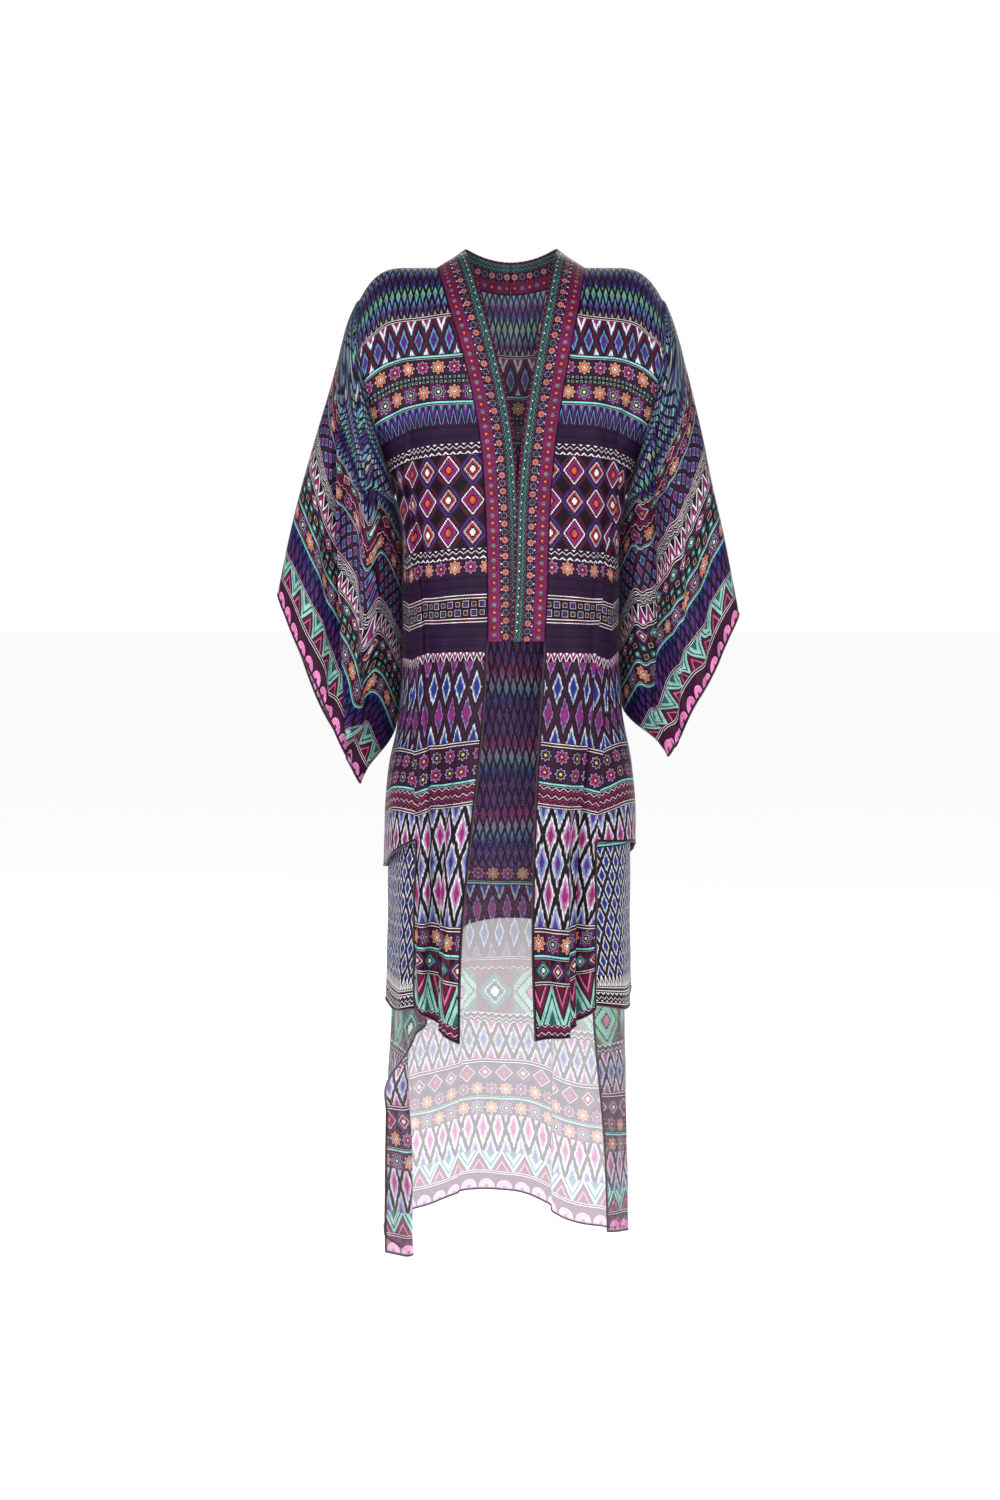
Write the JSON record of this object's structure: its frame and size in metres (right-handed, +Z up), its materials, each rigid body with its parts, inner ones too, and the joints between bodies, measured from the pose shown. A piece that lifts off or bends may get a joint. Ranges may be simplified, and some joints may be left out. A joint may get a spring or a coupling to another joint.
{
  "type": "kimono",
  "caption": "Open printed silk kimono with wide slanted sleeves, a flat neck band, long split fronts and a layered back, kept in its worn form.",
  "frame": {"origin": "middle of the shoulder line, at the height of the flat of the shoulders, where the wearer carries the garment", "axes": "+Z up along the length, the front faces -Y, +X towards the wearer's left"},
  "size_m": [0.6284, 0.2971, 1.3918],
  "materials": {
    "front_cloth": "printed silk crepe, soft sheen",
    "back_cloth": "printed silk crepe, soft sheen",
    "layer_cloth": "printed silk crepe, soft sheen",
    "long_cloth": "sheer printed silk, seen from its paler side",
    "sleeve_cloth": "printed silk crepe, soft sheen",
    "band_cloth": "doubled printed silk band with small crystals"
  },
  "bodies": {
    "root": {"front_right": "front_cloth", "front_left": "front_cloth", "back_outer": "back_cloth", "back_middle": "layer_cloth", "back_long": "long_cloth", "sleeve_right": "sleeve_cloth", "sleeve_left": "sleeve_cloth", "collar_right": "band_cloth", "collar_left": "band_cloth"}
  },
  "joints": []
}
